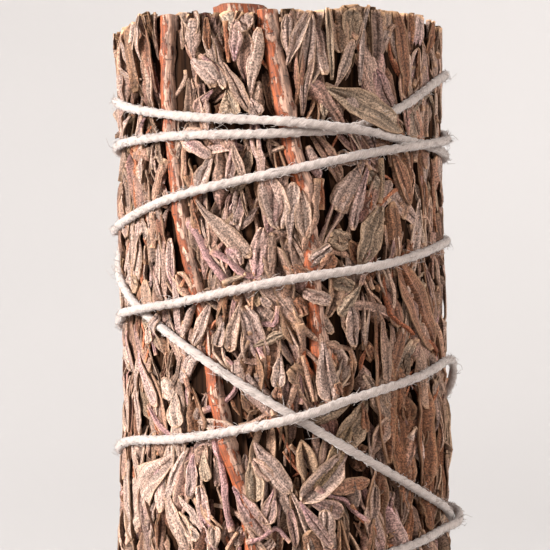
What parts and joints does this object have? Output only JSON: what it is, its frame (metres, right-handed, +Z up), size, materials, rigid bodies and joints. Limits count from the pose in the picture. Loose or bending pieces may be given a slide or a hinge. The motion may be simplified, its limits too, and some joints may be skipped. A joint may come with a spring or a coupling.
{
  "type": "smudge stick",
  "caption": "Upright bundle of dried sage sprigs, sawn flat at both ends and bound with a long cotton string, to be lit and smouldered at one end.",
  "frame": {"origin": "middle of the sawn base that the bundle stands on", "axes": "+Z up along the bundle towards its sawn top, -Y towards the viewer at the front, +X to the viewer's right"},
  "size_m": [0.0433, 0.0436, 0.1016],
  "materials": {
    "leaf": "dry felted leaf, matt",
    "bark": "dry reddish bark, peeling in places",
    "string": "soft twisted cotton, fuzzy"
  },
  "bodies": {
    "root": {"core_sprig": "leaf", "inner_sprig_1": "leaf", "inner_sprig_2": "leaf", "inner_sprig_3": "leaf", "inner_sprig_4": "leaf", "inner_sprig_5": "leaf", "inner_sprig_6": "leaf", "middle_sprig_01": "leaf", "middle_sprig_02": "leaf", "middle_sprig_03": "leaf", "middle_sprig_04": "leaf", "middle_sprig_05": "leaf", "middle_sprig_06": "leaf", "middle_sprig_07": "leaf", "middle_sprig_08": "leaf", "middle_sprig_09": "leaf", "middle_sprig_10": "leaf", "middle_sprig_11": "leaf", "outer_sprig_01": "leaf", "outer_sprig_02": "leaf", "outer_sprig_03": "leaf", "outer_sprig_04": "leaf", "outer_sprig_05": "leaf", "outer_sprig_06": "leaf", "outer_sprig_07": "leaf", "outer_sprig_08": "leaf", "outer_sprig_09": "leaf", "outer_sprig_10": "leaf", "outer_sprig_11": "leaf", "outer_sprig_12": "leaf", "outer_sprig_13": "leaf", "outer_sprig_14": "leaf", "outer_sprig_15": "leaf", "outer_sprig_16": "leaf", "outer_sprig_17": "leaf", "outer_sprig_18": "leaf", "thick_stem": "bark", "binding_string": "string"}
  },
  "joints": []
}
